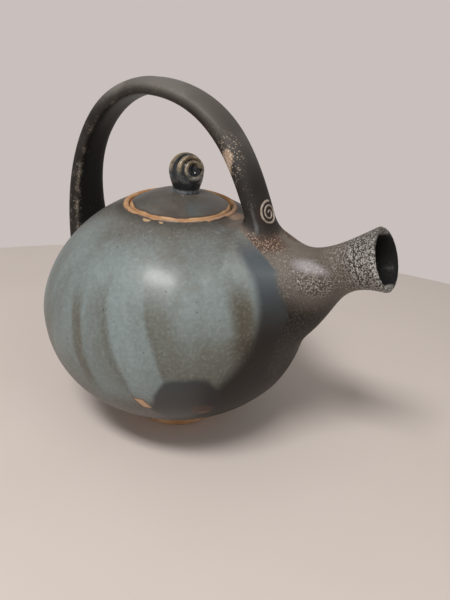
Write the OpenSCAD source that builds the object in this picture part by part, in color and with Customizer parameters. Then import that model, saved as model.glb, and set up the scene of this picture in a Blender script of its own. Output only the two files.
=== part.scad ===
// Top-handled stoneware teapot with a lift-out infuser basket.
// Millimetres, +Z up, spout towards +X, origin at the centre of the foot on the table.

/* [Body] */
// Outer diameter at the belly
body_d = 160; // [156:1:166]
// Height of the widest point above the table
belly_z = 77; // [75:1:79]
// Depth of the lower curve below the widest point
low_h = 67; // [65:1:69]
// Rise of the upper curve above the widest point
top_h = 66.5; // [66:0.5:68]
// Fullness of the lower curve
low_full = 2.3; // [2.2:0.1:2.6]
// Fullness of the shoulder curve
top_full = 1.7; // [1.6:0.05:1.8]
// Thickness of the thrown wall
wall = 5; // [4:0.5:6]

/* [Foot] */
// Outer diameter of the turned foot ring
foot_d = 62; // [60:1:66]
// Height of the foot ring
foot_h = 9; // [8:0.5:10]
// Width of the foot ring's wall
foot_w = 6; // [5:0.5:8]

/* [Mouth and lid] */
// Height of the top edge of the mouth
mouth_z = 138; // [137:0.5:138.5]
// Outer diameter of the ring that holds the lid
gallery_d = 64.4; // [63.6:0.2:66]
// Depth of the lid's seat below the top edge
seat_depth = 6; // [5:0.5:7]
// Diameter of the lid
lid_d = 57; // [56:0.5:57.5]
// Thickness of the lid's bare edge
lid_edge_h = 4.4; // [3.5:0.1:5]
// Rise of the lid's dome above its edge
lid_rise = 8.5; // [6:0.5:9]
// Depth of the ring under the lid that keeps it centred
flange_depth = 5; // [4:0.5:6]

/* [Knob] */
// Diameter of the ball of coiled clay
knob_d = 18.4; // [16:0.2:19]
// Height of the ball's centre above the table
knob_z = 156.5; // [156:0.5:157.5]
// Thickness of the coil laid over the ball
knob_coil_d = 3.2; // [2.4:0.2:4]
// How far the knob stands off the lid's centre
knob_offset = 3; // [0:0.5:3]

/* [Handle] */
// Width of the strap
strap_w = 20; // [17:0.5:21]
// Thickness of the strap
strap_t = 9.6; // [8:0.2:10]
// Extra half width where the strap spreads onto the shoulder
strap_spread = 6; // [3:0.5:7]

/* [Spout] */
// Diameter of the lip
lip_d = 31; // [28:0.5:32]
// Diameter at the narrowest place
throat_d = 24; // [22:0.5:26]
// Diameter of the spout where it joins the body
root_d = 77; // [74:1:82]
// Thickness of the spout's wall
spout_wall = 3.6; // [3:0.2:4.4]
// Diameter of the pierced disc behind the spout
strainer_d = 34; // [30:1:36]
// Diameter of each pouring hole
strainer_hole_d = 3.6; // [3:0.2:4]

/* [Infuser basket] */
// Outer diameter of the basket
basket_d = 51; // [49:0.5:51]
// Height of the basket's floor above the table
basket_floor_z = 62; // [50:1:70]
// Thickness of the basket's sheet
sheet = 0.6; // [0.6:0.1:0.8]
// Slots around the basket's wall
slots_around = 24; // [16:2:28]
// Rows of slots
slot_rows = 3; // [2:1:4]

/* [Ornament] */
// Diameter across the raised spiral
spiral_d = 14; // [11:0.5:14]
// Thickness of the clay thread
spiral_thread = 1.6; // [1.3:0.1:1.8]
// Turns of the spiral
spiral_turns = 2.6; // [2:0.1:3]

/* [Hidden] */

$fn = 96;
celadon = "#7f8b80";
dark_glaze = "#3f4143";
bare_clay = "#c08a58";
cream_clay = "#cfc6b0";
steel = "#b9bcc0";

// The bowl of the body starts at the foot and its inside floor is one wall higher.
body_r = body_d / 2;
bowl_join_r = foot_d / 2 + 1.5;
bowl_floor_z = belly_z - low_h + wall;
profile_steps = 30;

// The mouth: a bore in the body that the gallery ring fills.
gallery_r = gallery_d / 2;
gallery_h = 8.5;
lid_gap = 0.6;
seat_z = mouth_z - seat_depth;
seat_t = gallery_h - seat_depth;
basket_r = basket_d / 2;
basket_gap = 0.8;
lid_r = lid_d / 2;

// Heights through the lid: the basket's rim lies on the seat and the lid lies on the rim.
rim_t = 0.8;
lid_z = seat_z + rim_t;
lid_top_z = lid_z + lid_edge_h;
flange_gap = 0.8;
flange_w = 3;
dome_wall = 4.6;

// Knob
knob_r = knob_d / 2;
collar_r = 7.2;
knob_lean = 33;
knob_turn = 69;
knob_tilt = 41;
collar_top_z = knob_z - sqrt(pow(knob_r, 2) - pow(collar_r - 1, 2));
knob_at = [knob_offset * cos(knob_lean), knob_offset * sin(knob_lean), 0];
coil_steps = 44;
coil_sides = 10;

// Handle: control points of the strap's centre line, from the spout side over the lid to the back.
front_leg = [[69, 110], [47.5, 139], [44, 197.5], [-17, 197.5]];
rear_leg = [[-17, 197.5], [-50, 197.5], [-89, 160], [-76, 92]];
leg_steps = 18;
strap_sides = 24;
front_spread = 0.2;
rear_spread = 0.5;

// The spiral's place up the front leg and across it, where its outer end points, and how deep it lies.
spiral_at = 0.31;
spiral_y = -0.3;
spiral_end = 150;
thread_sunk = 0.5;

// Spout: control points of its centre line, from the body's wall to the lip.
spout_line = [[60, 103], [92, 115], [90, 125], [119.5, 137.8]];
spout_steps = 20;
spout_sides = 32;
root_parts = [[-0.16, 0.21], [0.2, 0.4]];

// The body's wall behind the spout: its middle point and the tilt of the hole.
wall_z = 104;
wall_tilt = 29;
strainer_t = 4;
strainer_depth = wall / 2 + 1.4;
strainer_at = [body_r_at(wall_z) - strainer_depth * cos(wall_tilt), 0,
    wall_z - strainer_depth * sin(wall_tilt)];

// Basket
floor_t = sheet;
band_h = 6;
band_t = 0.5;
slot_w = 2;
slot_gap = 4;
slots_bottom = basket_floor_z + band_h + 2;
slots_top = seat_z - 6;
slot_h = (slots_top - slots_bottom - (slot_rows - 1) * slot_gap) / slot_rows;
floor_hole_d = 2;

// Half-profile of the body: a separate power curve below and above the widest point.
function swell(t, full) = sqrt(max(0, 1 - pow(t, full)));
function body_r_at(z, skin = 0) = (body_r - skin) * (z < belly_z
    ? swell((belly_z - z) / (low_h - skin), low_full)
    : swell((z - belly_z) / (top_h - skin), top_full));
function ramp(a, b, n) = [for (i = [0 : n]) a + (b - a) * i / n];

// Points on a Bezier curve with four control points, its direction, and a ring of points across it.
function bezier(p, t) = pow(1 - t, 3) * p[0] + 3 * t * pow(1 - t, 2) * p[1]
    + 3 * t * t * (1 - t) * p[2] + pow(t, 3) * p[3];
function slope(p, t) = 3 * pow(1 - t, 2) * (p[1] - p[0]) + 6 * t * (1 - t) * (p[2] - p[1])
    + 3 * t * t * (p[3] - p[2]);
function unit(v) = v / norm(v);

// A ring in the plane across a line in XZ: a is the angle round it and s how square it is.
function squircle(a, s) = [sign(cos(a)) * pow(abs(cos(a)), s), sign(sin(a)) * pow(abs(sin(a)), s)];
function ring_across(at, dir, half_out, half_y, sides, s = 1) = [for (k = [0 : sides - 1])
    let (q = squircle(360 * k / sides, s))
    [at[0] - dir[1] * half_out * q[0], half_y * q[1], at[1] + dir[0] * half_out * q[0]]];

// A closed skin over a list of rings; with loop the last ring joins the first.
module skin(rings, loop = false) {
    sides = len(rings[0]);
    count = len(rings);
    walls = [for (i = [0 : count - (loop ? 1 : 2)], k = [0 : sides - 1])
        let (j = (i + 1) % count, m = (k + 1) % sides)
        [i * sides + k, j * sides + k, j * sides + m, i * sides + m]];
    ends = loop ? [] : [[for (k = [0 : sides - 1]) k],
        [for (k = [0 : sides - 1]) (count - 1) * sides + sides - 1 - k]];
    polyhedron(points = [for (r = rings) each r], faces = concat(walls, ends), convexity = 8);
}

// The solid that the body's outer surface encloses, for cutting what sits on it.
module body_bulk() {
    rotate_extrude() polygon(concat([[0, foot_h]],
        [for (z = ramp(bowl_join_z(), mouth_z, profile_steps)) [body_r_at(z), z]],
        [[0, mouth_z]]));
}

// Height at which the lower curve is as wide as the foot's join.
function bowl_join_z() = belly_z - low_h * pow(1 - pow(bowl_join_r / body_r, 2), 1 / low_full);

module strainer_hole(h, d) {
    translate(strainer_at) rotate([0, 90 - wall_tilt, 0]) cylinder(h = h, d = d, center = true);
}

module body_shell() {
    inner_top = mouth_z - gallery_h;
    color(celadon) difference() {
        rotate_extrude() polygon(concat(
            [[0, foot_h - 3], [foot_d / 2 - foot_w, foot_h - 3], [foot_d / 2 - foot_w, foot_h],
             [foot_d / 2, foot_h]],
            [for (z = ramp(bowl_join_z(), mouth_z - 0.8, profile_steps)) [max(body_r_at(z), gallery_r), z]],
            [[gallery_r, inner_top], [body_r_at(inner_top, wall), inner_top]],
            [for (z = ramp(inner_top - 2, bowl_floor_z + 1, profile_steps)) [body_r_at(z, wall), z]],
            [[0, bowl_floor_z]]));
        strainer_hole(h = 6 * wall, d = strainer_d);
    }
}

module foot_ring() {
    r = foot_d / 2;
    color(bare_clay) rotate_extrude() polygon([[r - foot_w, foot_h], [r - foot_w + 1, 1],
        [r - foot_w + 2, 0], [r - 1.2, 0], [r - 0.2, 1], [r, foot_h]]);
}

module lid_gallery() {
    lip = (gallery_r - lid_r - lid_gap) / 2;
    color(bare_clay) rotate_extrude() union() {
        translate([basket_r + basket_gap, mouth_z - gallery_h])
            square([gallery_r - basket_r - basket_gap, seat_t]);
        translate([lid_r + lid_gap, mouth_z - gallery_h]) square([2 * lip, gallery_h - lip]);
        translate([lid_r + lid_gap + lip, mouth_z - lip]) circle(r = lip, $fn = 24);
    }
}

// Spout radius: a flared root, a throat and a slightly open lip.
function spout_r(t) = bezier([root_d / 2, throat_d * 0.78, throat_d * 0.22, lip_d / 2], t);
function spout_rings(skin_in) = [for (t = ramp(0, 1, spout_steps))
    ring_across(bezier(spout_line, t), unit(slope(spout_line, t)),
        spout_r(t) - skin_in, spout_r(t) - skin_in, spout_sides)];
function reversed(list) = [for (i = [len(list) - 1 : -1 : 0]) list[i]];

module spout() {
    color(dark_glaze) difference() {
        skin(concat(spout_rings(0), reversed(spout_rings(spout_wall))), loop = true);
        body_bulk();
    }
}

// Plain cones close over the spout's root, for cutting the handle's foot.
module spout_root() {
    for (part = root_parts) {
        from = bezier(spout_line, part[0]);
        to = bezier(spout_line, part[1]);
        translate([from[0], 0, from[1]]) rotate([0, 90 - atan2(to[1] - from[1], to[0] - from[0]), 0])
            cylinder(h = norm(to - from), r1 = spout_r(part[0]), r2 = spout_r(part[1]));
    }
}

module spout_strainer() {
    color(dark_glaze) translate(strainer_at) rotate([0, 90 - wall_tilt, 0]) difference() {
        cylinder(h = strainer_t, d = strainer_d, center = true);
        cylinder(h = 2 * strainer_t, d = strainer_hole_d, center = true, $fn = 24);
        for (ring = [1, 2], k = [0 : 6 * ring - 1])
            rotate(60 / ring * k) translate([ring * strainer_d / 5.6, 0, 0])
                cylinder(h = 2 * strainer_t, d = strainer_hole_d, center = true, $fn = 24);
    }
}

// Rings across the strap, wider and thicker where u is near an end on the body.
function leg_rings(leg, from, to, base_at, spread) = [for (t = ramp(from, to, leg_steps))
    let (flare = pow(max(0, 1 - abs(t - base_at) / spread), 2))
    ring_across(bezier(leg, t), unit(slope(leg, t)), strap_t / 2 + 2.5 * flare,
        strap_w / 2 + strap_spread * flare, strap_sides, 0.6)];

handle_rings = concat(leg_rings(front_leg, 0, 1 - 1 / leg_steps, 0, front_spread),
    leg_rings(rear_leg, 0, 1, 1, rear_spread));

module handle() {
    color(dark_glaze) difference() {
        skin(handle_rings);
        body_bulk();
        spout_root();
        on_strap() translate([0, 0, -thread_sunk]) cylinder(h = strap_t, d = spiral_d + 0.4);
    }
}

// A place on the front of the strap: X down it, Y across it and Z out of it.
module on_strap() {
    at = bezier(front_leg, spiral_at);
    dir = unit(slope(front_leg, spiral_at));
    translate([at[0] + dir[1] * strap_t / 2, spiral_y, at[1] - dir[0] * strap_t / 2])
        rotate([0, 90 + atan2(dir[0], dir[1]), 0]) children();
}

// A round thread wound in a flat spiral of even pitch, laid in a shallow stamped round in the strap.
module spiral_sprig() {
    r0 = spiral_thread * 0.7;
    reach = spiral_d / 2 - spiral_thread / 2 - r0;
    steps = 52;
    // Wound inward from its outer end; the thread thins towards the middle and its back is flat.
    rings = [for (i = [0 : steps]) let (u = i / steps, a = spiral_end + 360 * spiral_turns * u,
        out = r0 + reach * (1 - u), r = spiral_thread / 2 * (i == 0 || i == steps ? 0.5 : 1 - 0.35 * u))
        [for (k = [0 : 7]) let (off = out - r * cos(45 * k))
            [off * cos(a), off * sin(a), max(r * sin(45 * k), -thread_sunk)]]];
    color(cream_clay) on_strap() skin(rings);
}

// Lid: a domed disc whose edge carries no glaze.
function dome_z(r, rise, base) = base + rise * (1 - pow(r / lid_r, 2));

module lid_dome() {
    hollow_r = basket_r - sheet - flange_gap - flange_w;
    color(celadon) rotate_extrude() polygon(concat(
        [for (r = ramp(0, lid_r - 0.8, 12)) [r, dome_z(r, lid_rise, lid_top_z)]],
        [[lid_r, lid_top_z - 0.6], [lid_r, lid_z], [hollow_r, lid_z]],
        [for (r = ramp(hollow_r, 0, 6)) [r, dome_z(r, lid_rise, lid_top_z) - dome_wall]]));
}

// The solid under the dome's outer surface, for cutting the collar's foot.
module dome_bulk() {
    rotate_extrude() polygon(concat([[0, lid_z]], [[lid_r - 0.8, lid_z]],
        reversed([for (r = ramp(0, lid_r - 0.8, 12)) [r, dome_z(r, lid_rise, lid_top_z)]])));
}

module lid_flange() {
    r = basket_r - sheet - flange_gap;
    color(bare_clay) translate([0, 0, lid_z - flange_depth]) difference() {
        cylinder(h = flange_depth, r = r);
        translate([0, 0, -1]) cylinder(h = flange_depth + 2, r = r - flange_w);
    }
}

module knob_collar() {
    base_z = dome_z(collar_r, lid_rise, lid_top_z);
    color(dark_glaze) difference() {
        translate(knob_at) rotate_extrude() polygon([[0, base_z - 2], [collar_r + 1.4, base_z - 2],
            [collar_r, base_z + 1.6], [collar_r - 1, collar_top_z], [0, collar_top_z]]);
        dome_bulk();
    }
}

// One rolled coil, wound up like a snail's shell with its eye tipped up towards the spout's near side.
module lid_knob() {
    eye_turns = 1.6;
    function on_ball(i) = let (u = i / coil_steps, a = 90 - 360 * eye_turns * u, tip = 28 + 58 * u)
        [sin(tip) * cos(a), -cos(tip), sin(tip) * sin(a)];
    ball = knob_r - knob_coil_d * 0.32;
    rings = [for (i = [0 : coil_steps]) let (n = on_ball(i), t = unit(on_ball(i + 0.1) - on_ball(i - 0.1)),
        b = cross(t, n), r = knob_coil_d / 2 * (i == 0 || i == coil_steps ? 0.4 : 1))
        [for (k = [0 : coil_sides - 1]) let (a = 360 * k / coil_sides)
            ball * n + r * (cos(a) * n + sin(a) * b)]];
    color(cream_clay) difference() {
        translate([knob_at[0], knob_at[1], knob_z]) rotate([-knob_tilt, 0, knob_turn]) union() {
            sphere(r = ball, $fn = 48);
            skin(rings);
        }
        translate([0, 0, collar_top_z - 10]) cylinder(h = 10, r = 2 * knob_r);
    }
}

module basket_rim() {
    color(steel) translate([0, 0, seat_z]) difference() {
        cylinder(h = rim_t, r = lid_r);
        translate([0, 0, -1]) cylinder(h = rim_t + 2, r = basket_r - sheet);
    }
}

module basket_wall() {
    color(steel) difference() {
        translate([0, 0, basket_floor_z]) cylinder(h = seat_z - basket_floor_z, r = basket_r);
        translate([0, 0, basket_floor_z - 1])
            cylinder(h = seat_z - basket_floor_z + 2, r = basket_r - sheet);
        for (row = [0 : slot_rows - 1], k = [0 : slots_around / 2 - 1])
            rotate(360 / slots_around * (k + row / 2))
                translate([-basket_d, -slot_w / 2, slots_bottom + row * (slot_h + slot_gap)])
                    cube([2 * basket_d, slot_w, slot_h]);
    }
}

module basket_floor() {
    r = basket_r - sheet;
    color(steel) translate([0, 0, basket_floor_z]) difference() {
        cylinder(h = floor_t, r = r);
        for (ring = [0 : 3], k = [0 : max(0, 6 * ring - 1)])
            rotate(60 / max(1, ring) * k) translate([ring * r / 4, 0, -1])
                cylinder(h = floor_t + 2, d = floor_hole_d, $fn = 24);
    }
}

module basket_base_band() {
    color(steel) translate([0, 0, basket_floor_z]) difference() {
        cylinder(h = band_h, r = basket_r + band_t);
        translate([0, 0, -1]) cylinder(h = band_h + 2, r = basket_r);
    }
}

body_shell();
foot_ring();
lid_gallery();
spout();
spout_strainer();
handle();
spiral_sprig();
lid_dome();
lid_flange();
knob_collar();
lid_knob();
basket_rim();
basket_wall();
basket_floor();
basket_base_band();
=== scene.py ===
import math

import bmesh
import bpy
import numpy as np
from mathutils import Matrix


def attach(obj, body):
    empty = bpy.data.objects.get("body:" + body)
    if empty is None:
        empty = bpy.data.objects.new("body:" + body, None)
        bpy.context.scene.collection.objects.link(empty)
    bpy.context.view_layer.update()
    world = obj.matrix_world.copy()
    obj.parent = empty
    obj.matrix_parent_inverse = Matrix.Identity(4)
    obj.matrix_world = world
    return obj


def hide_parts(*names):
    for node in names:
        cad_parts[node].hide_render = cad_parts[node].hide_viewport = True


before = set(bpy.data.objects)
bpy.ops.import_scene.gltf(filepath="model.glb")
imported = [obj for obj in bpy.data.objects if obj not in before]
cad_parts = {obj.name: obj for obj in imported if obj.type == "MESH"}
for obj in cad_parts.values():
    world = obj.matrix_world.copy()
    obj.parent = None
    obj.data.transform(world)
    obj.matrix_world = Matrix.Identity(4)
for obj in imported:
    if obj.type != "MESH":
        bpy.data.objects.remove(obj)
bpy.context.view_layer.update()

import openvdb
from mathutils import Matrix, Vector

MM = 0.001

# ---------------------------------------------------------------- sizes, in millimetres
BODY_R, BELLY_Z, LOW_H, TOP_H = 80, 77, 67, 66.5     # the belly, and its reach down and up from there
LOW_FULL, TOP_FULL, WALL = 2.3, 1.7, 5               # how full it is below and above: 2 is an ellipse
FLOOR_Z = BELLY_Z - LOW_H + WALL
FOOT_R, FOOT_H, FOOT_W = 31, 9, 6
FOOT_JOIN_R = FOOT_R + 1.5                           # where the body's curve meets the foot
MOUTH_Z, GALLERY_R, GALLERY_H, SEAT_DEPTH = 138, 32.2, 8.5, 6
BASKET_R, BASKET_GAP, SHEET, RIM_T = 25.5, 0.8, 0.6, 0.8
SEAT_Z = MOUTH_Z - SEAT_DEPTH
LID_R, LID_EDGE_H, LID_RISE, LID_GAP = 28.5, 4.4, 8.5, 0.6
LID_Z = SEAT_Z + RIM_T
LID_TOP_Z = LID_Z + LID_EDGE_H
DOME_WALL = 4.6
FLANGE_GAP, FLANGE_W = 0.8, 3
LID_HOLLOW_R = BASKET_R - SHEET - FLANGE_GAP - FLANGE_W
KNOB_AT = (2.5, 1.6, 156.5)
KNOB_R, KNOB_WIDE, KNOB_SAG = 9.2, 1.045, 4.0        # its radius, breadth, and how far it sags
COLLAR_R, KNOB_FLANGE_R, NECK_TOP_Z, EYE_HOLE_R = 7.2, 5.1, 153, 2.1
KNOB_BASE_Z, KNOB_CUT_Z = 145.3, 139.5               # middle of its flange, and its hidden flat underside
KNOB_EYE_WAY = (0.90, -0.35, 0.27)                   # the way that the coil's eye looks
COIL_FROM, COIL_TURN = -75, 960                      # degrees where the coil starts, and how far it winds
COIL_OPEN, COIL_CLOSE = 125, 0.19                    # degrees from the eye at its start, share at its end
COIL_THICKEST, COIL_TAPER = 2.7, 0.75
STRAP_T, STRAP_W = 9.6, 20
STRAP_SPREAD, STRAP_FLARE = 6, 2.5                   # half the width and thickness that its feet gain
STRAP_EDGE = 3.0                                     # rounding of the strap's two ends
STRAP_CROWN, STRAP_SUNK = 1.1, 0.6                   # how far its outer face bulges and its inner lies back
OUTER_OVAL, INNER_OVAL = 2.2, 3.6                    # how full its section is outside and inside
STRAP_GROOVE = 0.45                                  # depth of the groove along its top
GROOVE_AT, GROOVE_W = 0.2, 0.22                      # its place and breadth as shares of half the strap
FRONT_LEG = ((69, 110), (47.5, 139), (44, 197.5), (-17, 197.5))
REAR_LEG = ((-17, 197.5), (-50, 197.5), (-89, 160), (-76, 92))
FRONT_SPREAD, REAR_SPREAD = 0.2, 0.5                 # share of each leg over which its foot spreads
FRONT_PACE, REAR_PACE = 85, 207                      # about how long one mark is at its two ends
SPOUT_LINE = ((60, 103), (92, 115), (90, 125), (119.5, 137.8))
SPOUT_RADII = (38.5, 18.72, 5.28, 15.5)
SPOUT_WALL, STRAINER_R, STRAINER_Z, STRAINER_TILT = 3.6, 17, 104, 29
SPIRAL_R, SPIRAL_THREAD, SPIRAL_TURNS = 7, 1.35, 2.3
SPIRAL_AT, SPIRAL_Y = 0.31, -0.3                     # its place along the front leg and across it
SPOUT_FILLET, HANDLE_FILLET = 9, 8
INNER_ROUND, LIP_OUT_ROUND = 1.6, 1.8                # rounding of inner edges, and of the lip's outer one
LIP_ROLL = 0.9                                       # how much longer the rolled lip is than the plain wall
LIP_THIN = 0.3                                       # how much the lip is thinned from inside
SPOUT_TAIL = 0.22                                    # share of its line over which its root closes in
CLAY_STEP, KNOB_STEP = 1.82, 0.4                     # spacing of the pot's mesh and of the knob's


# ---------------------------------------------------------------- camera
def place_camera():
    """A camera a little above the pot on the spout's near side."""
    heading, down, tilt = math.radians(32.7), math.radians(28), math.radians(3.8)
    data = bpy.data.cameras.new("camera")
    data.sensor_width, data.lens = 36, 30.76
    data.clip_start, data.clip_end = 0.01, 20
    camera = bpy.data.objects.new("camera", data)
    turn = (Matrix.Rotation(heading, 4, "Z") @ Matrix.Rotation(math.pi / 2 - down, 4, "X")
            @ Matrix.Rotation(tilt, 4, "Z"))
    stand = (0.1767, -0.2221, 0.2273)
    camera.matrix_world = Matrix.Translation(stand) @ turn
    bpy.context.scene.collection.objects.link(camera)
    bpy.context.scene.camera = camera


# ---------------------------------------------------------------- lines and distances
def bezier(p, t):
    """A point, or a number, on a curve with four control values."""
    p, t = np.asarray(p, float), np.asarray(t, float)
    t = t[..., None] if p.ndim == 2 else t
    return (1 - t) ** 3 * p[0] + 3 * t * (1 - t) ** 2 * p[1] + 3 * t * t * (1 - t) * p[2] + t ** 3 * p[3]


def bezier_slope(p, t):
    """How fast that point or number changes with t."""
    p, t = np.asarray(p, float), np.asarray(t, float)
    t = t[..., None] if p.ndim == 2 else t
    return (3 * (1 - t) ** 2 * (p[1] - p[0]) + 6 * t * (1 - t) * (p[2] - p[1])
            + 3 * t * t * (p[3] - p[2]))


def smooth_step(lo, hi, x):
    """0 at lo and 1 at hi, eased at both; lo may be the larger."""
    t = np.clip((x - lo) / (hi - lo), 0, 1)
    return t * t * (3 - 2 * t)


def blend_union(a, b, size):
    """The nearer of two distances, with a fillet of about that size where they meet."""
    h = np.maximum(size - np.abs(a - b), 0) / size
    return np.minimum(a, b) - h * h * size / 4


def round_cut(a, b, size):
    """What is in a and outside b, with the edge between them rounded."""
    b = -b
    return (np.minimum(np.maximum(a, b), -size)
            + np.hypot(np.maximum(a + size, 0), np.maximum(b + size, 0)))


def body_r_at(z, skin=0.0):
    """Outer radius of the thrown body at a height, or that of a skin below it."""
    z = np.asarray(z, float)
    low = 1 - np.clip((BELLY_Z - z) / (LOW_H - skin), 0, 1) ** LOW_FULL
    top = 1 - np.clip((z - BELLY_Z) / (TOP_H - skin), 0, 1) ** TOP_FULL
    return (BODY_R - skin) * np.sqrt(np.where(z < BELLY_Z, low, top))


def outline_distance(outline, a, b):
    """Distance from points in a plane to a closed outline, below zero inside it."""
    outline = np.asarray(outline, float)
    gap, inside = np.full(a.shape, np.inf), np.zeros(a.shape, bool)
    for p, q in zip(outline, np.roll(outline, -1, axis=0)):
        e = q - p
        t = np.clip(((a - p[0]) * e[0] + (b - p[1]) * e[1]) / (e @ e), 0, 1)
        gap = np.minimum(gap, np.hypot(a - p[0] - e[0] * t, b - p[1] - e[1] * t))
        if e[1]:
            inside ^= ((p[1] > b) != (q[1] > b)) & (a < p[0] + e[0] * (b - p[1]) / e[1])
    return np.where(inside, -gap, gap)


def line_place(line, marks, a, b):
    """Nearest place on an open line: signed side, and the mark there."""
    gap = np.full(a.shape, np.inf)
    side, mark = np.zeros(a.shape), np.zeros(a.shape)
    for p, q, m, n in zip(line[:-1], line[1:], marks[:-1], marks[1:]):
        e = q - p
        t = np.clip(((a - p[0]) * e[0] + (b - p[1]) * e[1]) / (e @ e), 0, 1)
        da, db = a - p[0] - e[0] * t, b - p[1] - e[1] * t
        d = np.hypot(da, db)
        near = d < gap
        gap = np.where(near, d, gap)
        side = np.where(near, np.sign(e[0] * db - e[1] * da) * d, side)
        mark = np.where(near, m + (n - m) * t, mark)
    return side, mark


class Chart:
    """Values worked out once on an even grid in a plane, and read between its points."""

    def __init__(self, lo, hi, step, fill):
        self.lo, self.step = np.array(lo, float), step
        counts = np.ceil((np.array(hi) - self.lo) / step).astype(int) + 1
        a, b = (self.lo[i] + step * np.arange(counts[i]) for i in (0, 1))
        self.values = np.stack(fill(*np.meshgrid(a, b, indexing="ij")), axis=-1)

    def at(self, a, b):
        v = self.values
        u = np.clip((a - self.lo[0]) / self.step, 0, v.shape[0] - 1.001)
        w = np.clip((b - self.lo[1]) / self.step, 0, v.shape[1] - 1.001)
        i, j = u.astype(int), w.astype(int)
        u, w = (u - i)[..., None], (w - j)[..., None]
        low = v[i, j] * (1 - u) + v[i + 1, j] * u
        high = v[i, j + 1] * (1 - u) + v[i + 1, j + 1] * u
        return np.moveaxis(low * (1 - w) + high * w, -1, 0)


def with_tails(curve, t):
    """Points on a curve at t, going straight on past its ends."""
    inside = np.clip(t, 0, 1)
    return bezier(curve, inside) + bezier_slope(curve, inside) * (t - inside)[:, None]


# ---------------------------------------------------------------- the pot as one field
def pot_charts():
    """Charts of the thrown body, the spout's line and the handle's line."""
    axis = -20               # past the true axis, so that no outline has a side there
    rim_z, under_foot = MOUTH_Z - 0.4, FOOT_H - 3
    join_z = BELLY_Z - LOW_H * (1 - (FOOT_JOIN_R / BODY_R) ** 2) ** (1 / LOW_FULL)
    outer_z = np.linspace(join_z, rim_z, 240)
    ring_mid = GALLERY_R - 1.5
    outer = [(axis, under_foot), (FOOT_R - FOOT_W, under_foot), (FOOT_R - FOOT_W, FOOT_H), (FOOT_R, FOOT_H)]
    outer += [(max(r, ring_mid), z) for r, z in zip(body_r_at(outer_z), outer_z)]
    outer += [(ring_mid - 1, rim_z), (axis, rim_z)]
    ceiling, above = MOUTH_Z - GALLERY_H, MOUTH_Z + 9
    inner_z = np.linspace(FLOOR_Z + 0.5, ceiling, 200)
    inner = [(axis, FLOOR_Z)] + list(zip(body_r_at(inner_z, WALL), inner_z))
    inner += [(ring_mid, ceiling), (ring_mid, above), (axis, above)]
    body = Chart((0, -6), (104, 150), 0.4, lambda r, z: (
        outline_distance(outer, r, z), outline_distance(inner, r, z)))

    spout_t = np.linspace(-0.3, 1.3, 130)
    spout_line = with_tails(SPOUT_LINE, spout_t)
    spout = Chart((20, 60), (140, 170), 0.5, lambda x, z: line_place(spout_line, spout_t, x, z))

    leg, tail = np.linspace(0, 1, 80), 0.15
    marks = np.concatenate([[-tail], leg, 1 + leg[1:], [2 + tail]])
    line = np.concatenate([with_tails(FRONT_LEG, np.array([-tail])), bezier(FRONT_LEG, leg),
                           bezier(REAR_LEG, leg[1:]), with_tails(REAR_LEG, np.array([1 + tail]))])
    handle = Chart((-104, 60), (100, 216), 0.5, lambda x, z: line_place(line, marks, x, z))
    return body, spout, handle


BODY_CHART, SPOUT_CHART, HANDLE_CHART = pot_charts()


def strap_half_sizes(mark):
    """Half thickness and half width of the strap, wider near its two feet."""
    front = np.clip(1 - mark / FRONT_SPREAD, 0, 1) ** 2
    rear = np.clip(1 - (2 - mark) / REAR_SPREAD, 0, 1) ** 2
    flare = np.maximum(front, rear)
    return STRAP_T / 2 + STRAP_FLARE * flare, STRAP_W / 2 + STRAP_SPREAD * flare


def strap_field(x, y, z):
    """Distance to the strap, the place in its thickness and width, and the mark along it: 0 at the
    front foot, 1 at its top and 2 at the rear foot."""
    side, mark = HANDLE_CHART.at(x, z)
    thick, wide = strap_half_sizes(mark)
    crown = STRAP_CROWN * (1 - 0.8 * smooth_step(0.6, 0.9, mark) * smooth_step(1.4, 1.1, mark))
    thick = thick + np.where(side < 0, crown, -STRAP_SUNK)
    oval = np.where(side < 0, OUTER_OVAL, INNER_OVAL)
    past = np.maximum(-mark * FRONT_PACE, (mark - 2) * REAR_PACE)
    a, b = np.abs(side) / thick, np.abs(y) / wide
    full = np.maximum((a ** oval + b ** oval) ** (1 / oval), 1e-3)
    steep = np.hypot((a / full) ** (oval - 1) / thick, (b / full) ** (oval - 1) / wide)
    groove = STRAP_GROOVE * np.exp(-((y / wide - GROOVE_AT) / GROOVE_W) ** 2)
    groove = groove * smooth_step(-0.2, -0.8, side / thick)
    gap = (full - 1) / steep + groove * smooth_step(0.5, 0.75, mark) * smooth_step(1.9, 1.6, mark)
    gap = round_cut(gap, -past, STRAP_EDGE)
    return gap, side / thick, y / wide, mark


def spout_field(x, y, z):
    """Distances to the outside and the bore of the spout, and how far along it a point is."""
    side, t = SPOUT_CHART.at(x, z)
    held = np.clip(t, 0, 1)
    radius = bezier(SPOUT_RADII, held)
    speed = np.linalg.norm(bezier_slope(SPOUT_LINE, held), axis=-1)
    lean = 1 / np.sqrt(1 + (bezier_slope(SPOUT_RADII, held) / speed) ** 2)
    out = np.hypot(side, y)
    root = radius * np.sqrt(np.clip(1 - (np.minimum(t, 0) / SPOUT_TAIL) ** 2, 0, 1))
    outside = round_cut((out - root) * lean, (1 - t) * speed + LIP_ROLL, LIP_OUT_ROUND)
    wall = SPOUT_WALL - LIP_THIN * smooth_step(0.90, 1, t)
    bore = np.maximum((out - radius + wall) * lean, -t * speed)
    return outside, bore, t


def strainer_bore(x, y, z):
    """Distance to the round hole through the body's wall, where the strainer sits."""
    tilt = math.radians(STRAINER_TILT)
    depth = WALL / 2 + 1.4
    cx = float(body_r_at(STRAINER_Z)) - depth * math.cos(tilt)
    cz = STRAINER_Z - depth * math.sin(tilt)
    along = (x - cx) * math.cos(tilt) + (z - cz) * math.sin(tilt)
    across = np.hypot(-(x - cx) * math.sin(tilt) + (z - cz) * math.cos(tilt), y)
    return np.maximum(across - STRAINER_R, np.abs(along) - 3 * WALL)


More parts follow.
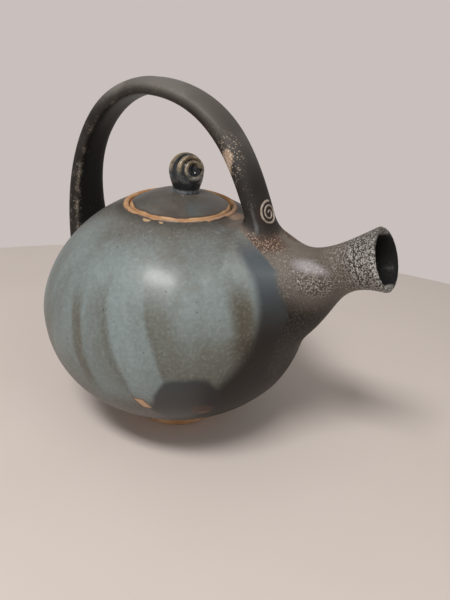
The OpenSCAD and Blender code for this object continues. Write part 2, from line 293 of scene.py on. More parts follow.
def pot_field(points):
    """Distance to the fired clay of body, spout and handle: below zero inside the clay."""
    x, y, z = points.T
    body, hollow = BODY_CHART.at(np.hypot(x, y), z)
    spout, bore, _ = spout_field(x, y, z)
    strap = strap_field(x, y, z)[0]
    clay = blend_union(body, spout, SPOUT_FILLET)
    clay = blend_union(clay, strap, HANDLE_FILLET)
    bore = np.maximum(bore, -body - 0.2)
    empty = np.minimum(np.minimum(hollow, bore), strainer_bore(x, y, z))
    return round_cut(clay, empty, INNER_ROUND)


def field_slope(field, points, step=0.05):
    """Which way and how fast a field grows at each point."""
    shifts = np.eye(3) * step
    return np.stack([field(points + s) - field(points - s) for s in shifts], axis=-1) / (2 * step)


def settle(field, points, rounds=4):
    """Moves points onto the surface of a field, and returns them with the normals there."""
    for _ in range(rounds):
        slope = field_slope(field, points)
        gap = np.clip(field(points), -1.5, 1.5)
        points = points - slope * (gap / np.maximum((slope ** 2).sum(-1), 0.05))[:, None]
    slope = field_slope(field, points)
    return points, slope / np.maximum(np.linalg.norm(slope, axis=-1), 1e-6)[:, None]


def skin_of(field, lo, hi, step):
    """Points and four-sided faces of the surface of a field inside a box."""
    lo = np.array(lo, float)
    counts = np.ceil((np.array(hi) - lo) / step).astype(int) + 1
    axes = [lo[i] + step * np.arange(counts[i]) for i in range(3)]
    values = np.empty(counts, np.float32)
    for i, x in enumerate(axes[0]):
        y, z = np.meshgrid(axes[1], axes[2], indexing="ij")
        layer = np.column_stack([np.full(y.size, x), y.ravel(), z.ravel()])
        values[i] = field(layer).reshape(y.shape)
    grid = openvdb.FloatGrid(3 * step)
    grid.copyFromArray(values)
    points, quads = grid.convertToQuads(isovalue=0.0)
    points, _ = settle(field, points.astype(float) * step + lo)
    return points, quads


def make_mesh(name, points, faces):
    """A smooth object from points in millimetres."""
    mesh = bpy.data.meshes.new(name)
    mesh.from_pydata((np.asarray(points) * MM).tolist(), [],
                     [tuple(int(i) for i in f) for f in faces])
    work = bmesh.new()
    work.from_mesh(mesh)
    bmesh.ops.remove_doubles(work, verts=work.verts, dist=1e-6)
    bmesh.ops.recalc_face_normals(work, faces=work.faces)
    work.to_mesh(mesh)
    work.free()
    mesh.validate()
    mesh.polygons.foreach_set("use_smooth", [True] * len(mesh.polygons))
    piece = bpy.data.objects.new(name, mesh)
    bpy.context.scene.collection.objects.link(piece)
    return piece


def refine(piece, field, chosen):
    """Splits the faces round chosen points in four and sets every point back on the field."""
    work = bmesh.new()
    work.from_mesh(piece.data)
    work.verts.ensure_lookup_table()
    picked = chosen(np.array([v.co for v in work.verts]) / MM)
    edges = [e for e in work.edges if picked[e.verts[0].index] and picked[e.verts[1].index]]
    bmesh.ops.subdivide_edges(work, edges=edges, cuts=1, use_grid_fill=True)
    work.to_mesh(piece.data)
    work.free()
    points, _ = settle(field, vertex_points(piece), 3)
    piece.data.vertices.foreach_set("co", (points * MM).ravel())
    piece.data.update()
    piece.data.polygons.foreach_set("use_smooth", [True] * len(piece.data.polygons))


def vertex_points(piece):
    """The points of a piece, in millimetres."""
    co = np.empty(len(piece.data.vertices) * 3)
    piece.data.vertices.foreach_get("co", co)
    return co.reshape(-1, 3) / MM


def paint(piece, name, values):
    """A number at every point of the mesh, for its material to read."""
    layer = piece.data.attributes.new(name, "FLOAT", "POINT")
    layer.data.foreach_set("value", np.asarray(values, np.float32))


# ---------------------------------------------------------------- the pot's pieces
def throw_pot():
    """Body, spout and handle, joined wet and fired as one: their joints have soft fillets."""
    points, quads = skin_of(pot_field, lo=(-94, -88, 2), hi=(130, 88, 205), step=CLAY_STEP)
    pot = make_mesh("stoneware_pot", points, quads)
    refine(pot, pot_field, lambda p: (strap_field(*p.T)[0] < 1.5)
           | ((spout_field(*p.T)[0] < 1.5) & (spout_field(*p.T)[2] > 0.45)))
    p = vertex_points(pot)
    x, y, z = p.T
    body, hollow = BODY_CHART.at(np.hypot(x, y), z)
    spout, bore, along = spout_field(x, y, z)
    strap, face, across, mark = strap_field(x, y, z)
    # The bore's dark glaze, deepened to near black as painted shade, ends at the lip's inner edge, and runs
    # over it on the far, lower side.
    far = smooth_step(1, 9, y + 0.35 * (SPOUT_LINE[3][1] - z))
    in_bore = (smooth_step(1.2 + 1.1 * far, 0.3 + 1.3 * far, np.abs(bore)) * smooth_step(-1, 1, body)
               * smooth_step(1 + 0.04 * far, 0.975 + 0.04 * far, along))
    inside = np.maximum(smooth_step(1.5, 0.5, np.abs(hollow)) * (hollow < body + WALL), in_bore)
    paint(pot, "inside", inside)
    paint(pot, "handle", smooth_step(3.2, 0.3, strap) * smooth_step(-1, 1.5, np.minimum(body, spout)))
    paint(pot, "spout", smooth_step(-4, 6, body) * smooth_step(9, 1, spout))
    paint(pot, "spout_along", along)
    paint(pot, "strap_face", np.clip(face, -1.5, 1.5))
    paint(pot, "strap_across", np.clip(across, -1.5, 1.5))
    paint(pot, "strap_along", mark)
    middle = bezier(FRONT_LEG, SPIRAL_AT)
    from_spiral = np.sqrt((x - middle[0]) ** 2 + (y - SPIRAL_Y) ** 2 + (z - middle[1]) ** 2)
    ground = smooth_step(SPIRAL_R + 3.4, SPIRAL_R + 1.6, from_spiral) * smooth_step(0, -0.5, face)
    paint(pot, "spiral_ground", ground)
    return pot


def rounded(outline, steps):
    """Points of an outline whose corners come with the size of their rounding."""
    made = []
    for i, (*corner, r) in enumerate(outline):
        here = np.array(corner, float)
        back = np.array(outline[i - 1][:2], float) - here
        on = np.array(outline[(i + 1) % len(outline)][:2], float) - here
        r = min(r, np.linalg.norm(back) / 2, np.linalg.norm(on) / 2)
        a = here + back / np.linalg.norm(back) * r
        c = here + on / np.linalg.norm(on) * r
        for t in np.linspace(0, 1, steps + 1):
            made.append(tuple((1 - t) ** 2 * a + 2 * t * (1 - t) * here + t * t * c))
    return made


def lathe(name, outline, sides=160, wobble=None, closed=True):
    """A turned form. An open outline starts and ends on the axis."""
    outline = np.asarray(outline, float)
    angles = 2 * np.pi * np.arange(sides) / sides
    points, faces = [], []
    ring = outline if closed else outline[1:-1]
    for a in angles:
        for r, z in ring:
            points.append((r * math.cos(a), r * math.sin(a), z))
    n = len(ring)
    for i in range(sides):
        j = (i + 1) % sides
        for k in range(n if closed else n - 1):
            m = (k + 1) % n
            faces.append((i * n + k, j * n + k, j * n + m, i * n + m))
    if not closed:
        for end, k in ((outline[0], 0), (outline[-1], n - 1)):
            points.append((0, 0, end[1]))
            for i in range(sides):
                faces.append((i * n + k, ((i + 1) % sides) * n + k, len(points) - 1))
    points = np.array(points)
    if wobble:
        points = wobble(points)
    return make_mesh(name, points, faces)


def hand_turned(size, lift, seed):
    """Small slow waves round a turned form, as a hand leaves them."""
    def bend(points):
        a = np.arctan2(points[:, 1], points[:, 0])
        r = np.hypot(points[:, 0], points[:, 1])
        out = size * (np.sin(2 * a + seed) * 0.6 + np.sin(5 * a + 2 * seed) * 0.25
                      + np.sin(11 * a + 3 * seed) * 0.15)
        up = lift * (np.sin(3 * a + seed) * 0.6 + np.sin(7 * a + seed) * 0.4)
        held = np.clip(r / 20, 0, 1)     # its middle stays still
        share = (r + out * held) / np.maximum(r, 1e-9)
        return np.column_stack([points[:, 0] * share, points[:, 1] * share, points[:, 2] + up * held])
    return bend


def dome_z(r):
    """Height of the lid's top at a radius."""
    return LID_TOP_Z + LID_RISE * (1 - (r / LID_R) ** 2)


def turn_lid():
    """The lid's domed disc with its bare, slightly rounded edge."""
    top = [(r, dome_z(r)) for r in np.linspace(0, LID_R - 1.3, 40)]
    edge = [(LID_R - 0.75, dome_z(LID_R - 0.75) - 0.05), (LID_R - 0.3, LID_TOP_Z - 0.25),
            (LID_R - 0.06, LID_TOP_Z - 0.9), (LID_R, LID_TOP_Z - 2), (LID_R - 0.05, LID_Z + 0.8),
            (LID_R - 0.5, LID_Z + 0.05), (LID_R - 1.2, LID_Z)]
    under = [(r, LID_Z) for r in np.linspace(LID_R - 2.5, LID_HOLLOW_R + 0.4, 5)]
    hollow = [(r, dome_z(r) - DOME_WALL) for r in np.linspace(LID_HOLLOW_R - 0.5, 0, 18)]
    return lathe("lid", top + edge + under + hollow, sides=192,
                 wobble=hand_turned(0.28, 0.12, 0.7), closed=False)


def turn_gallery():
    """The bare ring in the mouth, with the ledge that the basket and lid rest on."""
    inside, bead = LID_R + LID_GAP, 1.45
    top, low = MOUTH_Z, MOUTH_Z - GALLERY_H
    outline = rounded([(BASKET_R + BASKET_GAP, low, 0.4), (GALLERY_R, low, 0.2), (GALLERY_R, top, bead),
                       (inside, top, bead), (inside, SEAT_Z, 0.3),
                       (BASKET_R + BASKET_GAP, SEAT_Z, 0.5)], steps=6)
    return lathe("bare_gallery_ring", outline, sides=192, wobble=hand_turned(0.12, 0.1, 2.1))


def turn_foot():
    """The trimmed foot ring, bare where it stands."""
    outline = rounded([(FOOT_R - FOOT_W, FOOT_H + 0.6, 0.2), (FOOT_R - FOOT_W + 1, 0.9, 0.7),
                       (FOOT_R - FOOT_W + 2, 0, 0.6), (FOOT_R - 1.2, 0, 0.6), (FOOT_R - 0.25, 1, 0.6),
                       (FOOT_R - 0.1, FOOT_H * 0.55, 1), (FOOT_R - 0.3, FOOT_H + 0.6, 0.2)], steps=5)
    return lathe("bare_foot_ring", outline, sides=160)


# ---------------------------------------------------------------- knob
def knob_coil():
    """The middle line and the thickness of the clay coil, wound in towards the eye."""
    eye = np.array(KNOB_EYE_WAY)
    eye /= np.linalg.norm(eye)
    side = np.cross(eye, (0, 0, 1))
    side /= np.linalg.norm(side)
    up = np.cross(side, eye)
    share = np.linspace(0, 1, 150)
    turn = np.radians(COIL_FROM + COIL_TURN * share)
    tip = np.radians(COIL_OPEN * COIL_CLOSE ** share)
    thick = COIL_THICKEST * (tip / tip[0]) ** COIL_TAPER
    reach = KNOB_R - thick + 0.3
    ring = np.cos(turn)[:, None] * side + np.sin(turn)[:, None] * up
    line = reach[:, None] * (np.sin(tip)[:, None] * ring + np.cos(tip)[:, None] * eye)
    return line + np.array(KNOB_AT), thick, eye


COIL_LINE, COIL_THICK, KNOB_EYE = knob_coil()


def knob_parts(points):
    """Distances to the wound coil, and to the sagging ball, the neck and the flange under it."""
    at = np.array(KNOB_AT)
    points = at + (points - at) / (KNOB_WIDE, KNOB_WIDE, 1)
    coil = np.full(len(points), np.inf)
    for c, r in zip(COIL_LINE, COIL_THICK):
        coil = np.minimum(coil, np.linalg.norm(points - c, axis=1) - r)
    x, y, z = points.T
    ball = np.linalg.norm(points - at, axis=1) - (KNOB_R - 1.35)
    low = np.linalg.norm(points - at + (0, 0, KNOB_SAG), axis=1) - (KNOB_R - 0.75)
    out = np.hypot(x - at[0], y - at[1])
    neck = np.maximum(out - COLLAR_R + 0.7, np.maximum(z - NECK_TOP_Z, KNOB_CUT_Z - 0.5 - z))
    flange = np.hypot(np.maximum(out - KNOB_FLANGE_R, 0), (z - KNOB_BASE_Z) * 1.3) - 2.0
    return coil, np.minimum(ball, low), neck, flange


def knob_field(points):
    """Distance to the knob's clay, with its eye pressed in and its underside cut flat."""
    coil, ball, neck, flange = knob_parts(points)
    base = blend_union(blend_union(ball, neck, 2.4), flange, 1.6)
    clay = blend_union(base, coil, 1.2)
    hole_at = np.array(KNOB_AT) + KNOB_EYE * (KNOB_R - 0.6)
    hole = np.linalg.norm((points - hole_at) * (1, 1.2, 0.75), axis=1) - EYE_HOLE_R
    return np.maximum(round_cut(clay, hole, 0.5), KNOB_CUT_Z - points[:, 2])


def roll_knob():
    """The knob: a coil wound like a snail's shell on a short neck."""
    at = np.array(KNOB_AT)
    room = 12
    lo = (at[0] - room, at[1] - room, KNOB_CUT_Z - 1)
    points, quads = skin_of(knob_field, lo, at + room, KNOB_STEP)
    knob = make_mesh("coiled_knob", points, quads)
    p = vertex_points(knob)
    coil = knob_parts(p)[0]
    out = np.linalg.norm(p - at, axis=1)
    paint(knob, "crest", smooth_step(KNOB_R - 0.75, KNOB_R + 0.3, out) * smooth_step(0.8, 0.1, coil))
    paint(knob, "eye", smooth_step(0.72, 0.93, ((p - at) @ KNOB_EYE) / out))
    paint(knob, "foot", smooth_step(KNOB_BASE_Z + 2.6, KNOB_BASE_Z + 0.6, p[:, 2]))
    return knob


# ---------------------------------------------------------------- raised spiral
def tube(name, line, normals, radii, sides=12, flat=1.0):
    """A round thread along a line that lies on a surface, closed at both ends."""
    ahead = np.gradient(line, axis=0)
    ahead /= np.linalg.norm(ahead, axis=1)[:, None]
    across = np.cross(ahead, normals)
    across /= np.linalg.norm(across, axis=1)[:, None]
    points, faces = [], []
    for p, n, b, r in zip(line, normals, across, radii):
        for k in range(sides):
            a = 2 * math.pi * k / sides
            points.append(p + r * (math.cos(a) * b + flat * math.sin(a) * n))
    for i in range(len(line) - 1):
        for k in range(sides):
            m = (k + 1) % sides
            faces.append((i * sides + k, i * sides + m, (i + 1) * sides + m, (i + 1) * sides + k))
    faces.append(tuple(range(sides)))
    last = (len(line) - 1) * sides
    faces.append(tuple(last + k for k in reversed(range(sides))))
    return make_mesh(name, points, faces)


def lay_spiral():
    """A thin clay thread wound in a spiral and pressed onto the front of the strap."""
    middle = bezier(FRONT_LEG, SPIRAL_AT)
    ahead = bezier_slope(FRONT_LEG, SPIRAL_AT)
    ahead /= np.linalg.norm(ahead)
    outward = np.array([ahead[1], 0, -ahead[0]])
    upward = np.array([ahead[0], 0, ahead[1]])
    share = np.linspace(0, 1, 150)
    turn = np.radians(60 + 360 * SPIRAL_TURNS * (1 - share))
    reach = 0.5 + (SPIRAL_R - SPIRAL_THREAD / 2 - 0.5) * share ** 0.9
    start = np.array([middle[0], SPIRAL_Y, middle[1]]) + outward * STRAP_T / 2
    line = (start + (reach * np.cos(turn))[:, None] * np.array([0, 1, 0])
            + (reach * np.sin(turn))[:, None] * upward)
    line, normals = settle(pot_field, line, 8)
    grow = SPIRAL_THREAD / 2 * (0.55 + 0.45 * share)
    ends = np.clip(np.minimum(share, 1 - share) / 0.02, 0, 1) ** 0.5
    radii = grow * np.maximum(ends, 0.12)
    return tube("raised_spiral", line + normals * (grow * 0.25)[:, None], normals, radii, flat=0.85)


# ---------------------------------------------------------------- node helpers
def shade(r, g, b):
    """A colour given as 0 to 255 on screen, as the linear values that Blender uses."""
    return tuple((c / 255 / 12.92 if c <= 10 else ((c / 255 + 0.055) / 1.055) ** 2.4)
                 for c in (r, g, b)) + (1,)


class Bench:
    """Short calls for adding nodes to one tree."""

    def __init__(self, tree):
        self.tree = tree

    def put(self, socket, value):
        """Joins an output to a socket, or sets the socket to a value."""
        if isinstance(value, bpy.types.NodeSocket):
            self.tree.links.new(value, socket)
        elif value is not None:
            socket.default_value = value

    def node(self, kind, inputs=(), **settings):
        """A new node, with inputs in order or by name."""
        made = self.tree.nodes.new("ShaderNode" + kind)
        for key, value in settings.items():
            setattr(made, key, value)
        pairs = inputs.items() if isinstance(inputs, dict) else enumerate(inputs)
        for key, value in pairs:
            self.put(made.inputs[key], value)
        return made

    def math(self, how, a, b=None):
        return self.node("Math", (a, b), operation=how).outputs[0]

    def vector(self, how, a, b=None, out="Vector"):
        return self.node("VectorMath", (a, b), operation=how).outputs[out]

    def add(self, a, b):
        return self.math("ADD", a, b)

    def minus(self, a, b):
        return self.math("SUBTRACT", a, b)

    def size_of(self, a):
        """A number without its sign."""
        return self.math("ABSOLUTE", a)

    def both(self, *masks):
        """Masks multiplied together."""
        made = masks[0]
        for mask in masks[1:]:
            made = self.math("MULTIPLY", made, mask)
        return made

    def either(self, *masks):
        """The largest of some masks."""
        made = masks[0]
        for mask in masks[1:]:
            made = self.math("MAXIMUM", made, mask)
        return made

    def less(self, a, b):
        """a where b is not."""
        return self.both(a, self.minus(1.0, b))

    def sway(self, mask, size):
        """A mask's values as a wander of half that size to each side of zero."""
        return self.both(self.minus(mask, 0.5), size)

    def ramp(self, mask, lo, hi):
        """Numbers from lo to hi as a mask goes from 0 to 1."""
        return self.node("MapRange", (mask, 0.0, 1.0, lo, hi)).outputs[0]

    def span(self, value, lo, hi, out_lo=0.0, out_hi=1.0):
        """A mask that grows softly from lo to hi; lo may be the larger."""
        return self.node("MapRange", (value, lo, hi, out_lo, out_hi),
                         interpolation_type="SMOOTHSTEP").outputs[0]

    def span_mm(self, value, lo, hi, out_lo=0.0, out_hi=1.0):
        """The same for a place or distance, with lo and hi in millimetres."""
        return self.span(value, lo * MM, hi * MM, out_lo, out_hi)

    def near(self, value, middle, lo, hi):
        """A mask round a middle: full as near to it as hi, and gone as far from it as lo."""
        return self.span(self.size_of(self.minus(value, middle)), lo, hi)

    def mix(self, mask, a, b):
        return self.node("Mix", {0: mask, 6: a, 7: b}, data_type="RGBA").outputs[2]

    def lay(self, under, over, mask, share):
        """A colour laid over another through a mask, at a share of its strength."""
        return self.mix(self.both(mask, share), under, over)

    def blend(self, mask, first, second):
        """A mix of two colours given as they show on screen."""
        return self.mix(mask, shade(*first), shade(*second))

    def place(self):
        return self.node("TexCoord").outputs["Object"]

    def xyz(self):
        return self.node("SeparateXYZ", (self.place(),)).outputs

    def direction(self, x, y):
        """Degrees round the pot's axis, from the spout."""
        return self.math("DEGREES", self.math("ARCTAN2", y, x))

    def from_axis(self, x, y):
        """Distance from the pot's axis."""
        flat = self.node("CombineXYZ", (x, y, 0.0)).outputs[0]
        return self.vector("LENGTH", flat, out="Value")

    def noise(self, place, scale, detail):
        return self.node("TexNoise", {"Vector": place, "Scale": scale, "Detail": detail}).outputs["Fac"]

    def painted(self, name):
        """A number painted on the mesh."""
        return self.node("Attribute", attribute_name=name).outputs["Fac"]

    def effect(self, name, **inputs):
        """A shared effect with this material's own values."""
        made = self.tree.nodes.new("ShaderNodeGroup")
        made.node_tree = EFFECTS[name]
        for key, value in inputs.items():
            self.put(made.inputs[key.replace("_", " ")], value)
        return made.outputs[0]

    def mottle(self, scale, start, end, detail=4.0, stretch=1.0, shift=(0.0, 0.0, 0.0)):
        return self.effect("glaze mottle", Scale=scale, Stretch=stretch, Detail=detail, From=start,
                           To=end, Shift=shift)

    def run(self, high, low, top, foot, left, right, left_soft, right_soft, waver=4.0, fade=10.0):
        """A run of glaze, given as in the lists of runs."""
        return self.effect("glaze run", Angle_High=float(high), Angle_Low=float(low), High=top * MM,
                           Low=foot * MM, Left=float(left), Right=float(right), Waver=waver,
                           Left_Soft=float(left_soft), Right_Soft=float(right_soft), Fade=fade * MM)

    def patch(self, name):
        """One of the patches listed by name."""
        place, size, soft, uneven, rim_scale = PATCHES[name]
        place, size = (tuple(v * MM for v in values) for values in (place, size))
        return self.effect("glaze patch", Place=place, Size=size, Soft=soft, Uneven=uneven,
                           Rim_Scale=rim_scale)


EFFECTS = {}


def make_effect(name, inputs, output, build):
    """A shared shader effect with named inputs and one output."""
    tree = bpy.data.node_groups.new(name, "ShaderNodeTree")
    for label, value in inputs.items():
        kind = "NodeSocketVector" if isinstance(value, tuple) else "NodeSocketFloat"
        tree.interface.new_socket(label, in_out="INPUT", socket_type=kind).default_value = value
    tree.interface.new_socket(output, in_out="OUTPUT", socket_type="NodeSocketFloat")
    given, result = tree.nodes.new("NodeGroupInput"), tree.nodes.new("NodeGroupOutput")
    bench = Bench(tree)
    bench.put(result.inputs[0], build(bench, given.outputs))
    EFFECTS[name] = tree


def build_mottle(b, given):
    """Soft cloudy patches; Stretch below 1 draws them out down the pot."""
    place = b.place()
    long = b.node("CombineXYZ", (1.0, 1.0, given["Stretch"])).outputs[0]
    place = b.vector("ADD", b.vector("MULTIPLY", place, long), given["Shift"])
    cloud = b.node("TexNoise", {"Vector": place, "Scale": given["Scale"], "Detail": given["Detail"],
                                "Roughness": 0.55}).outputs["Fac"]
    return b.span(cloud, given["From"], given["To"])


def build_specks(b, given):
    """Scattered dots: Share is how many cells hold one and Size how much of a cell it fills."""
    place = b.place()
    cells = b.node("TexVoronoi", {"Vector": place, "Scale": given["Scale"], "Randomness": 1.0})
    pick = b.node("SeparateColor", (cells.outputs["Color"],)).outputs
    kept = b.math("LESS_THAN", pick[0], given["Share"])
    reach = b.both(given["Size"], b.add(b.both(pick[1], 0.7), 0.4))
    return b.both(kept, b.span(cells.outputs["Distance"], reach, b.both(reach, 0.45)))


def build_run(b, given):
    """A run of glaze down the body, from Left to Right in degrees beside a line that slants between
    two directions and two heights. Each of its sides has its own softness."""
    place = b.place()
    x, y, z = b.xyz()
    line = b.node("MapRange", (z, given["Low"], given["High"], given["Angle Low"],
                               given["Angle High"])).outputs[0]
    off = b.add(b.minus(b.direction(x, y), line), b.sway(b.noise(place, 38.0, 3.0), given["Waver"]))
    left, left_soft = given["Left"], given["Left Soft"]
    right, right_soft = given["Right"], given["Right Soft"]
    band = b.both(b.span(off, b.minus(left, left_soft), b.add(left, left_soft)),
                  b.span(off, b.add(right, right_soft), b.minus(right, right_soft)))
    fade = given["Fade"]
    top = b.span(z, b.add(given["High"], fade), b.minus(given["High"], fade))
    low = b.span(z, b.minus(given["Low"], fade), b.add(given["Low"], fade))
    return b.both(band, b.both(top, low))


def build_spot(b, given):
    """A patch round one place, with an uneven rim."""
    place = b.place()
    away = b.vector("DIVIDE", b.vector("SUBTRACT", place, given["Place"]), given["Size"])
    out = b.vector("LENGTH", away, out="Value")
    out = b.add(out, b.sway(b.noise(place, given["Rim Scale"], 4.0), given["Uneven"]))
    return b.span(out, b.add(1.0, given["Soft"]), b.minus(1.0, given["Soft"]))


def build_grain(b, given):
    """Height of a fired surface: slow waves, fine tooth and pinholes."""
    place = b.place()
    slow, fine = b.noise(place, 55.0, 3.0), b.noise(place, 900.0, 3.0)
    return b.minus(b.add(b.both(slow, given["Waves"]), b.both(fine, given["Tooth"])), given["Pits"])


def make_effects():
    make_effect("glaze mottle", {"Scale": 20.0, "Stretch": 1.0, "Detail": 4.0, "From": 0.35,
                                 "To": 0.65, "Shift": (0.0, 0.0, 0.0)}, "Mask", build_mottle)
    make_effect("specks", {"Scale": 500.0, "Share": 0.3, "Size": 0.4}, "Mask", build_specks)
    make_effect("glaze run", {"Angle High": 0.0, "Angle Low": 0.0, "High": 0.12, "Low": 0.06,
                              "Left": -3.0, "Right": 3.0, "Left Soft": 1.0, "Right Soft": 1.0,
                              "Waver": 4.0, "Fade": 0.010}, "Mask", build_run)
    make_effect("glaze patch", {"Place": (0.0, 0.0, 0.0), "Size": (0.01, 0.01, 0.01), "Soft": 0.1,
                                "Uneven": 0.3, "Rim Scale": 90.0}, "Mask", build_spot)
    make_effect("fired grain", {"Waves": 1.0, "Tooth": 0.1, "Pits": 0.0}, "Height", build_grain)


# ---------------------------------------------------------------- finishes
CELADON, CELADON_PALE, CELADON_OLIVE = shade(111, 120, 118), shade(128, 140, 141), shade(92, 90, 80)
SHOULDER_BROWN, LOW_BROWN, RUN_EDGE = shade(88, 81, 75), shade(78, 69, 61), shade(74, 68, 58)
DEEP_BROWN, NEAR_BLACK = shade(44, 36, 31), shade(18, 14, 13)
BLUE, BLUE_LOW = shade(60, 69, 76), shade(29, 27, 27)
SLATE, SLATE_LOW = shade(49, 56, 59), shade(53, 50, 50)
STRAP_GREY, STRAP_BROWN = shade(50, 47, 44), shade(32, 27, 24)
BARE_TAN, BARE_DARK, CREAM = shade(190, 156, 120), shade(96, 66, 44), shade(186, 176, 160)
RING_TAN, RING_ORANGE = shade(184, 148, 110), shade(160, 114, 72)

# Runs on the body: directions in degrees at their top and foot, the two heights in millimetres, how
# far they reach to each side of the line between, and how softly each side ends. In the two lists the
# share of the run's colour comes last. In the single runs, how far they waver and how softly they fade.
OLIVE_RUNS = (
    (-82, -68, 108, 62, -9, 0, 5, 0.8, 0.48), (-96, -85.5, 103, 60, -3, 2.5, 1.6, 1.4, 0.85),
    (-66, -55, 110, 68, 0, 11, 0.8, 5, 0.75), (-27, -25, 116, 76, -5, 3, 3, 2, 1.0),
    (-126, -113, 112, 60, -5, 5, 3, 4, 0.45), (-160, -148, 116, 58, -10, 0, 5, 0.9, 0.7),
    (36, 30, 112, 70, -8, 0, 4, 0.8, 0.65), (66, 54, 118, 62, 0, 10, 0.9, 5, 0.7),
    (98, 86, 120, 58, -9, 0, 5, 0.8, 0.7), (128, 138, 114, 60, 0, 9, 0.9, 4, 0.7),
    (162, 152, 110, 64, -8, 0, 4, 1.0, 0.6))
PALE_RUNS = (
    (-77, -66, 112, 64, -4, 4, 1.5, 2, 0.9), (-46, -42, 128, 86, -6, 5, 4, 4, 0.5),
    (-102, -97, 104, 70, -4, 3, 3, 2, 0.5), (48, 42, 118, 76, -5, 4, 3, 3, 0.5),
    (82, 76, 112, 62, -4, 4, 3, 3, 0.5), (118, 112, 116, 66, -5, 4, 3, 3, 0.5),
    (-140, -134, 112, 66, -5, 5, 4, 3, 0.5))
DEEP_RUN = (-27, -25, 112, 82, -4, 2, 3, 2)
NEAR_BLUE_RUN = (-17.3, -18.8, 132, 74, -4.6, 5.2, 1.9, 1.1, 3.4, 5)
FAR_BLUE_RUN = (16.5, 19.5, 130, 78, -4.0, 3.6, 1.0, 1.4, 3.0, 6)
TAN_STREAK = (-63.0, -54.7, 49, 37, -0.5, 0.5, 0.4, 0.4, 0.5, 2)

# Bare chips low on the body: only the two directions and the two heights.
BARE_CHIPS = ((-66.6, -63.0, 57.6, 51.2), (146.0, 150.5, 54.0, 49.0))

# Patches on the pot: the middle and the half sizes in millimetres, how soft and how uneven the rim
# is, and how fine its unevenness.
PATCHES = {
    "slate pool": ((48.5, -53.9, 54.0), (18.5, 18.5, 22.5), 0.10, 0.34, 60.0),
    "thin at the pool": ((56.0, -49.5, 49.0), (6.2, 6.2, 4.8), 0.2, 0.6, 200.0),
    "bare at the pool": ((56.3, -47.5, 45.5), (3.4, 3.4, 1.6), 0.2, 0.5, 300.0),
    "rust": ((61.5, -8.5, 135.0), (11.5, 9.5, 7.5), 0.45, 0.8, 110.0),
    "far rust": ((64.0, 13.0, 133.0), (10.0, 8.5, 7.5), 0.45, 0.8, 110.0),
    "salted root": ((74.0, -17.0, 125.0), (15.0, 9.0, 16.0), 0.4, 0.6, 90.0),
    "salted side": ((91.5, -13.0, 123.5), (12.0, 8.5, 8.0), 0.4, 0.7, 110.0),
    # The pale patch on the neck is a painted highlight.
    "painted highlight on the neck": ((89.0, -11.8, 128.4), (7.8, 6.0, 2.1), 0.75, 0.3, 90.0),
    "specks on the strap": ((36.5, -9.5, 172.0), (8.0, 6.0, 12.0), 0.5, 1.0, 150.0),
    "worn strap": ((36.2, -9.8, 168.5), (3.4, 3.0, 6.6), 0.2, 1.2, 260.0),
    "bald by the ring": ((34.5, 8.5, 136.8), (3.0, 7.5, 2.4), 0.4, 0.7, 150.0),
    "chip by the ring": ((3.0, -32.2, 136.8), (2.4, 1.6, 2.0), 0.25, 0.9, 420.0),
    "small chip by the ring": ((11.5, -30.4, 136.8), (1.2, 1.0, 1.4), 0.25, 0.9, 420.0),
}


def new_finish(name):
    """A material, its bench and its shader."""
    made = bpy.data.materials.new(name)
    made.use_nodes = True
    tree = made.node_tree
    shader = next(n for n in tree.nodes if n.type == "BSDF_PRINCIPLED")
    return made, Bench(tree), shader


def finish_with(bench, shader, colour, roughness, height, strength, depth, **fixed):
    """Joins the colour, gloss and relief to the shader, and sets what is even all over. The relief's
    depth is in millimetres."""
    bench.put(shader.inputs["Base Color"], colour)
    bench.put(shader.inputs["Roughness"], roughness)
    bump = bench.node("Bump", {"Strength": strength, "Distance": depth * MM, "Height": height})
    bench.put(shader.inputs["Normal"], bump.outputs[0])
    for key, value in fixed.items():
        shader.inputs[key.replace("_", " ")].default_value = value


def body_glaze_colour(b, side, z, uneven):
    """Grey-green glaze with pale and olive runs, browner on the shoulder and low down, and darker brown with
    painted shade low beside the spout's root.
    """
    colour = b.mix(b.mottle(26.0, 0.3, 0.72, detail=5.0, stretch=0.45), CELADON, CELADON_PALE)
    for *where, share in PALE_RUNS:
        colour = b.lay(colour, CELADON_PALE, b.run(*where), share)
    for *where, share in OLIVE_RUNS:
        colour = b.lay(colour, CELADON_OLIVE, b.run(*where), share)
        high, low, top, foot, left, right = where[:6]
        if 0 in (left, right):  # that side is sharp, and has a thin dark edge
            edge = (-2.0, 0, 1.4, 0.6) if right == 0 else (0, 2.0, 0.6, 1.4)
            colour = b.lay(colour, RUN_EDGE, b.run(high, low, top - 4, foot - 3, *edge), 0.3)
    soft_runs = b.mottle(60.0, 0.48, 0.75, stretch=0.14, shift=(0.3, 0.1, 0.0))
    wavy = b.add(z, b.both(uneven, 14 * MM))
    shoulder, low_down = b.span_mm(wavy, 124, 146), b.span_mm(wavy, 77, 48)
    under_spout = b.both(b.span(side, 56.0, 42.0), b.span_mm(wavy, 119, 91))
    # Darker brown low beside and under the spout's root: darker glaze, deepened as painted shade.
    corner = b.both(b.span(side, 35.0, 25.0), b.span_mm(wavy, 106, 92))
    grain = b.mottle(420.0, 0.35, 0.65, detail=5.0)
    frost = b.mottle(610.0, 0.45, 0.72, detail=5.0, shift=(0.7, 0.0, 0.2))
    for over, mask, share in (
            (CELADON_OLIVE, soft_runs, 0.4), (SHOULDER_BROWN, shoulder, 0.85),
            (CELADON_OLIVE, under_spout, 0.85), (RUN_EDGE, b.run(*DEEP_RUN), 0.65),
            (shade(56, 48, 40), corner, 0.6), (LOW_BROWN, low_down, 0.95),
            (shade(70, 68, 58), grain, 0.16), (shade(168, 176, 172), frost, 0.14)):
        colour = b.lay(colour, over, mask, share)
    return colour


